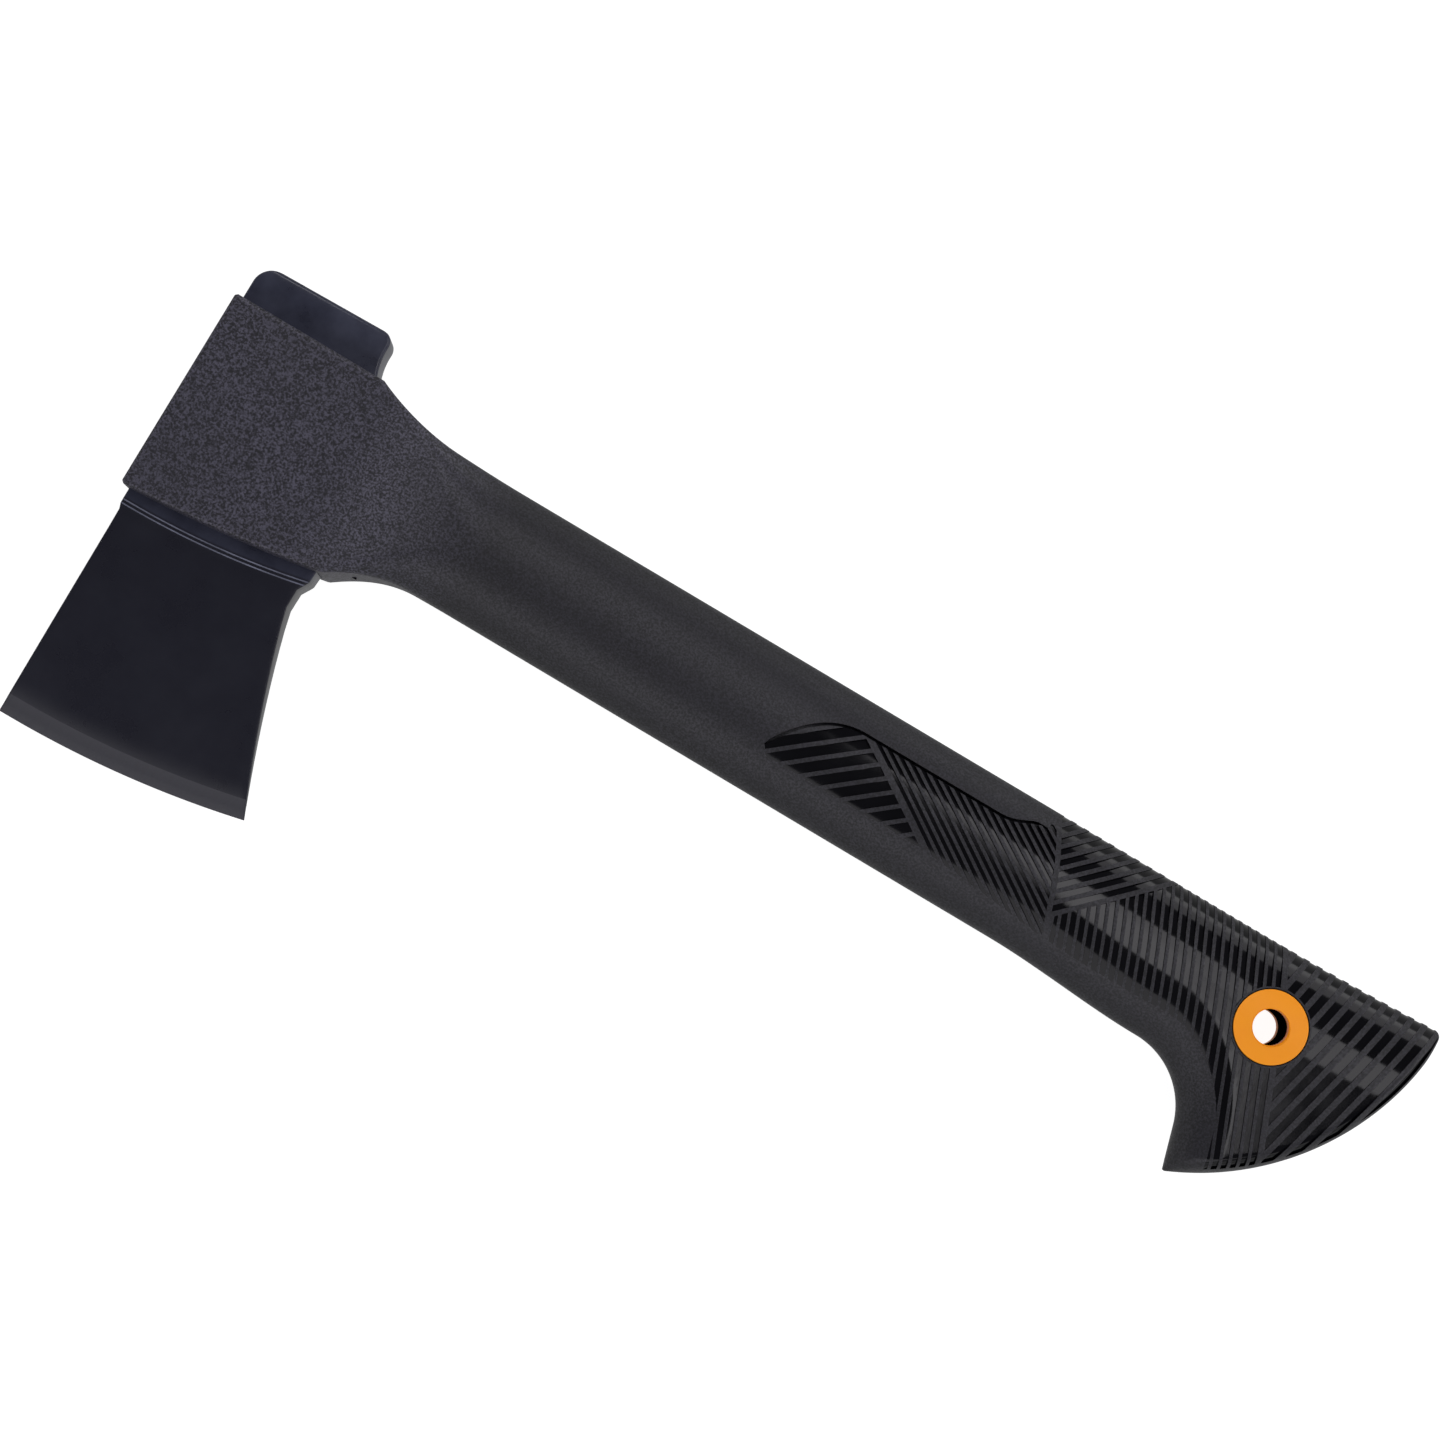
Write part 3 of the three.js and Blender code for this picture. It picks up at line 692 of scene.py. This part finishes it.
def web_body(name, grow=0.0):
    """The head's waist through the collar, between blade and poll."""
    front, rear = WEB_FRONT - grow, WEB_REAR + grow
    outline = [(front, WEB_BOTTOM), (rear, WEB_BOTTOM), (rear, WEB_TOP), (front, WEB_TOP)]
    return prism(name, outline, WEB_HALF_WIDTH + grow)


def head_body(name, grow=0.0, materials=()):
    head = blade_body(name, grow, materials)
    combine(head, web_body("web", grow), "UNION")
    combine(head, poll_body("poll", grow), "UNION")
    return head


# ---- Materials -----------------------------------------------------------------------------------


class Nodes:
    """A material's node tree with short calls for the nodes that these materials use."""

    def __init__(self, name):
        self.material = bpy.data.materials.new(name)
        self.material.use_nodes = True
        self.tree = self.material.node_tree
        self.shader = self.tree.nodes["Principled BSDF"]
        self.position = self.add("ShaderNodeTexCoord").outputs["Object"]

    def add(self, kind, **settings):
        node = self.tree.nodes.new(kind)
        for key, value in settings.items():
            setattr(node, key, value)
        return node

    def link(self, source, target):
        self.tree.links.new(source, target)

    def noise(self, scale, detail=4.0, roughness=0.5, stretch=(1, 1, 1)):
        mapping = self.add("ShaderNodeMapping")
        mapping.inputs["Scale"].default_value = stretch
        self.link(self.position, mapping.inputs["Vector"])
        node = self.add("ShaderNodeTexNoise")
        node.inputs["Scale"].default_value = scale
        node.inputs["Detail"].default_value = detail
        node.inputs["Roughness"].default_value = roughness
        self.link(mapping.outputs["Vector"], node.inputs["Vector"])
        return node.outputs["Fac"]

    def ramp(self, source, low, high, start=0.35, end=0.65):
        """Colour low up to start and high from end."""
        node = self.add("ShaderNodeValToRGB")
        node.color_ramp.elements[0].position = start
        node.color_ramp.elements[1].position = end
        node.color_ramp.elements[0].color = (*low, 1)
        node.color_ramp.elements[1].color = (*high, 1)
        self.link(source, node.inputs["Fac"])
        return node.outputs["Color"]

    def range(self, source, low, high, start=0.3, end=0.7):
        """Number low up to start and high from end."""
        node = self.add("ShaderNodeMapRange")
        node.inputs["From Min"].default_value = start
        node.inputs["From Max"].default_value = end
        node.inputs["To Min"].default_value = low
        node.inputs["To Max"].default_value = high
        self.link(source, node.inputs["Value"])
        return node.outputs["Result"]

    def mix(self, share, a, b):
        node = self.add("ShaderNodeMix", data_type="RGBA")
        self.link(share, node.inputs["Factor"])
        self.link(a, node.inputs["A"])
        self.link(b, node.inputs["B"])
        return node.outputs["Result"]

    def bump(self, source, distance, strength):
        node = self.add("ShaderNodeBump")
        node.inputs["Distance"].default_value = distance
        node.inputs["Strength"].default_value = strength
        self.link(source, node.inputs["Height"])
        return node.outputs["Normal"]


def matte_nylon():
    """Glass-fibre nylon from a spark-eroded mould: coarse grain on the collar, finer on the shaft."""
    n = Nodes("matte_nylon")
    grains = n.noise(1850, 1.0, 0.6)
    cloud = n.noise(45, 3)
    split = n.add("ShaderNodeSeparateXYZ")
    n.link(n.position, split.inputs["Vector"])
    shaft_share = n.range(split.outputs["X"], 0.0, 1.0, *COARSE_ENDS)
    coarse = n.ramp(grains, (0.0030, 0.0028, 0.0064), (0.0860, 0.0825, 0.1160), 0.39, 0.66)
    fine = n.ramp(grains, (0.0020, 0.0019, 0.0034), (0.0235, 0.0226, 0.0300), 0.38, 0.68)
    tone = n.ramp(cloud, (0.0075, 0.0072, 0.0104), (0.0110, 0.0106, 0.0146))
    colour = n.mix(n.range(cloud, 0.10, 0.35), n.mix(shaft_share, coarse, fine), tone)
    n.link(colour, n.shader.inputs["Base Color"])
    n.link(n.range(grains, 0.54, 0.42), n.shader.inputs["Roughness"])
    n.link(n.bump(grains, 0.00004, 0.5), n.shader.inputs["Normal"])
    n.shader.inputs["Specular IOR Level"].default_value = 0.42
    return n.material


def glossy_pocket():
    """The polished floors between the ribs."""
    n = Nodes("glossy_pocket")
    smear = n.noise(90, 4)
    tone = n.ramp(smear, (0.0016, 0.0016, 0.0024), (0.0030, 0.0029, 0.0042))
    n.link(tone, n.shader.inputs["Base Color"])
    n.link(n.range(smear, 0.07, 0.12), n.shader.inputs["Roughness"])
    n.link(n.bump(n.noise(700, 2), 0.00001, 0.3), n.shader.inputs["Normal"])
    n.shader.inputs["Specular IOR Level"].default_value = 0.24
    return n.material


def coated_steel():
    """Dark low-friction coating, bluish, faintly worn, with a painted sheen that lightens the band inside
    the first ridge.
    """
    n = Nodes("coated_steel")
    mottle = n.noise(85, 5, 0.62)
    fine = n.noise(1500, 3)
    plain = n.ramp(mottle, (0.0088, 0.0090, 0.0158), (0.0098, 0.0104, 0.0178))
    # painted sheen: a lighter blue for the band between the collar and the first ridge
    sheen_tone = n.ramp(mottle, (0.0180, 0.0198, 0.0360), (0.0360, 0.0395, 0.0640))
    from_centre = n.add("ShaderNodeVectorMath")
    from_centre.operation = "DISTANCE"
    n.link(n.position, from_centre.inputs[0])
    from_centre.inputs[1].default_value = to_world([EDGE_X, EDGE_Y, 0.0])
    sheen_share = n.range(from_centre.outputs["Value"], 1.0, 0.0, (RIDGE_1 - 0.6) * MM, RIDGE_1 * MM)
    tone = n.mix(sheen_share, plain, sheen_tone)
    n.link(tone, n.shader.inputs["Base Color"])
    n.link(n.range(mottle, 0.26, 0.32), n.shader.inputs["Roughness"])
    n.link(n.bump(fine, 0.000005, 0.3), n.shader.inputs["Normal"])
    n.shader.inputs["Specular IOR Level"].default_value = 0.35
    return n.material


def ground_steel():
    """The ground bevel, with fine lines across the edge under the coating."""
    n = Nodes("ground_steel")
    lines = n.noise(700, 3, 0.6, (1, 0.08, 1))
    tone = n.ramp(lines, (0.018, 0.018, 0.026), (0.023, 0.023, 0.032))
    n.link(tone, n.shader.inputs["Base Color"])
    n.link(n.range(lines, 0.42, 0.52), n.shader.inputs["Roughness"])
    n.link(n.bump(lines, 0.000005, 0.4), n.shader.inputs["Normal"])
    return n.material


def ridge_highlight():
    """Lighter steel on a ridge's chamfers: a painted highlight along each ridge line."""
    n = Nodes("ridge_highlight")
    highlight_mottle = n.noise(260, 3, 0.6)
    tone = n.ramp(highlight_mottle, (0.055, 0.060, 0.090), (0.120, 0.128, 0.180))
    n.link(tone, n.shader.inputs["Base Color"])
    n.link(n.range(highlight_mottle, 0.30, 0.40), n.shader.inputs["Roughness"])
    n.shader.inputs["Metallic"].default_value = 0.3
    return n.material


def orange_plastic():
    n = Nodes("orange_plastic")
    cloud = n.noise(220, 3)
    tone = n.ramp(cloud, (0.99, 0.330, 0.009), (1.0, 0.345, 0.011))
    n.link(tone, n.shader.inputs["Base Color"])
    n.link(n.range(cloud, 0.38, 0.48), n.shader.inputs["Roughness"])
    n.link(n.bump(n.noise(2500, 2), 0.00002, 0.5), n.shader.inputs["Normal"])
    n.shader.inputs["Specular IOR Level"].default_value = 0.2
    return n.material


def black_plastic():
    n = Nodes("black_plastic")
    cloud = n.noise(300, 3)
    tone = n.ramp(cloud, (0.001, 0.001, 0.0014), (0.002, 0.002, 0.0026))
    n.link(tone, n.shader.inputs["Base Color"])
    n.link(n.range(cloud, 0.7, 0.8), n.shader.inputs["Roughness"])
    n.link(n.bump(n.noise(2500, 2), 0.00002, 0.5), n.shader.inputs["Normal"])
    n.shader.inputs["Specular IOR Level"].default_value = 0.0
    return n.material


def pale_floor():
    """A pale table lit from inside, as under a packshot."""
    n = Nodes("pale_floor")
    cloud = n.noise(1.5, 2)
    n.link(n.ramp(cloud, (0.30, 0.30, 0.30), (0.32, 0.32, 0.32)), n.shader.inputs["Base Color"])
    n.link(n.ramp(cloud, (0.96, 0.96, 0.96), (0.97, 0.97, 0.97)), n.shader.inputs["Emission Color"])
    n.shader.inputs["Emission Strength"].default_value = 0.95
    n.shader.inputs["Roughness"].default_value = 0.9
    n.shader.inputs["Specular IOR Level"].default_value = 0.1
    return n.material


NYLON = matte_nylon()
POCKET = glossy_pocket()
STEEL = coated_steel()
GROUND = ground_steel()
RIDGE_HIGHLIGHT = ridge_highlight()
ORANGE = orange_plastic()
BLACK = black_plastic()


# ---- Pieces --------------------------------------------------------------------------------------


def build_head():
    head = head_body("steel_head", materials=[STEEL, GROUND, RIDGE_HIGHLIGHT])
    mesh = head.data
    centres = np.empty(len(mesh.polygons) * 3)
    mesh.polygons.foreach_get("center", centres)
    normals = np.empty(len(mesh.polygons) * 3)
    mesh.polygons.foreach_get("normal", normals)
    centres = (centres.reshape(-1, 3) - ORIGIN) / MM
    normals = normals.reshape(-1, 3)
    radius = np.hypot(centres[:, 0] - EDGE_X, centres[:, 1] - EDGE_Y)
    below = centres[:, 1] < SHAFT_BOTTOM
    kind = np.zeros(len(centres), int)
    kind[(radius > EDGE_RADIUS - BEVEL_LENGTH + 0.01) & below] = 1
    # the ridges' chamfer faces take the lighter steel of the painted highlight
    for ridge in (RIDGE_1, RIDGE_2):
        on_ridge = (radius > ridge - 0.03) & (radius < ridge + RIDGE_WIDTH + 0.03)
        kind[on_ridge & below & (np.abs(normals[:, 2]) > 0.5)] = 2
    mesh.polygons.foreach_set("material_index", kind)
    return shade(head)


def build_handle():
    body = handle_body("handle_body", materials=[NYLON, POCKET])
    space = sleeve_region("sleeve_space", SEAM)
    combine(space, groove_band("groove_band"), "UNION")
    deep = lambda x, y: np.full(np.shape(x), SLEEVE_THICKNESS + GAP)
    combine(space, handle_body("under_sleeve", deep, 0.4), "DIFFERENCE")
    combine(body, space, "DIFFERENCE")
    combine(body, head_body("head_pocket", GAP), "DIFFERENCE")
    bush_hole = prism("bush_hole", disc(HOLE_X, HOLE_Y, BUSH_RADIUS + GAP), COLLAR_HALF_WIDTH)
    combine(body, bush_hole, "DIFFERENCE")
    return shade(body, handle_normal)


def build_grip():
    grip = handle_body("grip_body", materials=[NYLON, POCKET])
    combine(grip, sleeve_region("grip_region"), "INTERSECT")
    thick = lambda x, y: np.full(np.shape(x), SLEEVE_THICKNESS)
    combine(grip, handle_body("grip_inside", thick, 0.4), "DIFFERENCE")
    ring_window = prism("ring_window", disc(HOLE_X, HOLE_Y, RING_OUTER + GAP), COLLAR_HALF_WIDTH)
    combine(grip, ring_window, "DIFFERENCE")
    floor = handle_body("floor_body", pocket_depth)
    rim = prism("butt_rim", disc(BUTT_X, BUTT_Y, BUTT_RADIUS - BUTT_RIM, 240), COLLAR_HALF_WIDTH + 2)
    ring = prism("ring_rim", disc(HOLE_X, HOLE_Y, RING_OUTER + RING_RIM), COLLAR_HALF_WIDTH + 2)
    for key, (family, outline) in grip_zones().items():
        cut = slots("slots_" + key, *family)
        combine(cut, prism("zone_" + key, outline, COLLAR_HALF_WIDTH), "INTERSECT")
        if key in ("rear", "butt"):
            combine(cut, rim, "INTERSECT", keep_tool=True)
            combine(cut, ring, "DIFFERENCE", keep_tool=True)
        combine(cut, floor, "DIFFERENCE", keep_tool=True)
        cut.data.materials.clear()
        cut.data.materials.append(POCKET)
        combine(grip, cut, "DIFFERENCE")
    for tool in (floor, rim, ring):
        drop(tool)
    return shade(grip, handle_normal)


def build_ring(name, side):
    """Flush with the handle's surface, with a softened inner edge."""
    inner, above = BUTT_HALF_WIDTH - RING_THICKNESS - RING_SINK, BUTT_HALF_WIDTH + 3
    profile = [(RING_INNER, inner), (RING_INNER, above), (RING_OUTER, above), (RING_OUTER, inner)]
    ring = lathe(name, HOLE_X, HOLE_Y, [(r, z * side) for r, z in profile], materials=[ORANGE])
    combine(ring, handle_body("ring_surface"), "INTERSECT")
    centre = 0.01
    soft = [(RING_INNER + r, z) for r, z in RING_SOFT_EDGE]
    bowl = [(centre, RING_SOFT_EDGE[0][1]), *soft, (RING_INNER + RING_BEVEL, above), (centre, above)]
    cut = lathe("ring_edge", HOLE_X, HOLE_Y, [(r, z * side) for r, z in bowl])
    combine(ring, cut, "DIFFERENCE")
    ring.data.materials.clear()
    ring.data.materials.append(ORANGE)
    return shade(ring, handle_normal)


def build_bush():
    half = BUSH_HALF_LENGTH
    profile = [(HOLE_RADIUS, -half), (HOLE_RADIUS, half), (BUSH_RADIUS, half), (BUSH_RADIUS, -half)]
    return shade(lathe("hole_lining", HOLE_X, HOLE_Y, profile, materials=[BLACK]))


for piece, node, slot in [
    (build_head(), "axe_head", "coated_steel"),
    (build_handle(), "handle_shell", "glass_fibre_nylon"),
    (build_grip(), "grip_sleeve", "grip_nylon"),
    (build_ring("ring_front", 1), "hang_ring_front", "orange_plastic"),
    (build_ring("ring_back", -1), "hang_ring_back", "orange_plastic"),
    (build_bush(), "hang_hole_bush", "black_plastic"),
]:
    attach(piece, "root")
    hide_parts(node)
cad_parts["vent_plug"].data.materials.clear()
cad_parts["vent_plug"].data.materials.append(BLACK)


# ---- Floor, light and camera ---------------------------------------------------------------------


def add_floor():
    size = 6.0
    corners = [(-size, -size, 0), (size, -size, 0), (size, size, 0), (-size, size, 0)]
    mesh = bpy.data.meshes.new("floor")
    mesh.from_pydata(corners, [], [(0, 1, 2, 3)])
    mesh.materials.append(pale_floor())
    floor = bpy.data.objects.new("floor", mesh)
    floor.visible_diffuse = False
    floor.visible_glossy = False
    bpy.context.scene.collection.objects.link(floor)


def add_panel(name, centre, radiance, length, width, turn=0.0, facing=None):
    """A soft panel aimed at the tool's long axis, or at a point, and turned about its own face."""
    light = bpy.data.lights.new(name, "AREA")
    light.shape = "RECTANGLE"
    light.size = length
    light.size_y = width
    light.energy = radiance * length * width * math.pi
    light.color = PANEL_TINT
    panel = bpy.data.objects.new(name, light)
    if facing is None:
        tilt = Matrix.Rotation(-math.atan2(centre[1], centre[2]), 4, "X")
    else:
        tilt = (Vector(facing) - Vector(centre)).to_track_quat("-Z", "Y").to_matrix().to_4x4()
    panel.matrix_world = Matrix.Translation(centre) @ tilt @ Matrix.Rotation(turn, 4, "Z")
    panel.visible_camera = False
    bpy.context.scene.collection.objects.link(panel)


def add_lights():
    """Panels on the blade's side, over the rear, on the poll's side, over the front and past the butt."""
    add_panel("blade_side_panel", (0, -1.06, 1.06), 1.5, 2.4, 0.92)
    height, turn = 1.7, math.radians(10)
    split, end = 0.17, 1.1
    width, narrow = 0.94, 0.67
    along = Vector((math.cos(turn), math.sin(turn), 0))
    across = Vector((-along.y, along.x, 0))
    start = Vector((0.137, 0.394, height))
    for name, first, last, breadth, radiance in [
        ("rear_strip", 0, split, width, 4.0), ("rear_glow", split, end, narrow, 3.2),
    ]:
        centre = start + along * (first + last) / 2 + across * (width - breadth) / 2
        add_panel(name, centre, radiance, last - first, breadth, turn, (centre.x, centre.y, 0))
    add_panel("poll_side_panel", (1.3, 1.93, 0.52), 1.8, 2.2, 0.84)
    add_panel("front_glow", (-0.66, 1.05, 1.45), 6.0, 0.6, 0.6)
    add_panel("butt_side_panel", (2.2, 0.3, 0.45), 2.4, 1.6, 0.7, 0, (0, 0, 0))


def add_world():
    """A pale glow round the horizon, dim above it and below."""
    world = bpy.data.worlds.new("studio")
    world.use_nodes = True
    bpy.context.scene.world = world
    tree = world.node_tree
    background = tree.nodes["Background"]
    where = tree.nodes.new("ShaderNodeTexCoord")
    split = tree.nodes.new("ShaderNodeSeparateXYZ")
    ramp = tree.nodes.new("ShaderNodeValToRGB")
    tree.links.new(where.outputs["Generated"], split.inputs["Vector"])
    tree.links.new(split.outputs["Z"], ramp.inputs["Fac"])
    tree.links.new(ramp.outputs["Color"], background.inputs["Color"])
    stops = ramp.color_ramp.elements
    stops[0].position, stops[1].position = 0.0, 0.26
    stops[0].color, stops[1].color = (0.42, 0.42, 0.42, 1), (0.12, 0.12, 0.13, 1)
    for position in (0.02, 0.18):
        stop = stops.new(position)
        stop.color = (1, 1, 1, 1)
    background.inputs["Strength"].default_value = 1.1


def add_camera():
    """Over the tool, a little to the blade's side, looking at the middle of the picture."""
    foot = to_world(CAMERA_FOOT)
    forward = Vector(to_world(CAMERA_AIM) - foot).normalized()
    up_hint = Vector((-math.sin(CAMERA_TURN), math.cos(CAMERA_TURN), 0))
    right = forward.cross(up_hint).normalized()
    up = right.cross(forward)
    data = bpy.data.cameras.new("camera")
    data.sensor_width = 36
    data.lens = CAMERA_LENS
    data.clip_end = 50
    camera = bpy.data.objects.new("camera", data)
    turned = Matrix((right, up, -forward)).transposed().to_4x4()
    camera.matrix_world = Matrix.Translation(Vector(foot)) @ turned
    bpy.context.scene.collection.objects.link(camera)
    bpy.context.scene.camera = camera


add_floor()
add_world()
add_lights()
add_camera()
bpy.context.scene.view_settings.view_transform = "Standard"
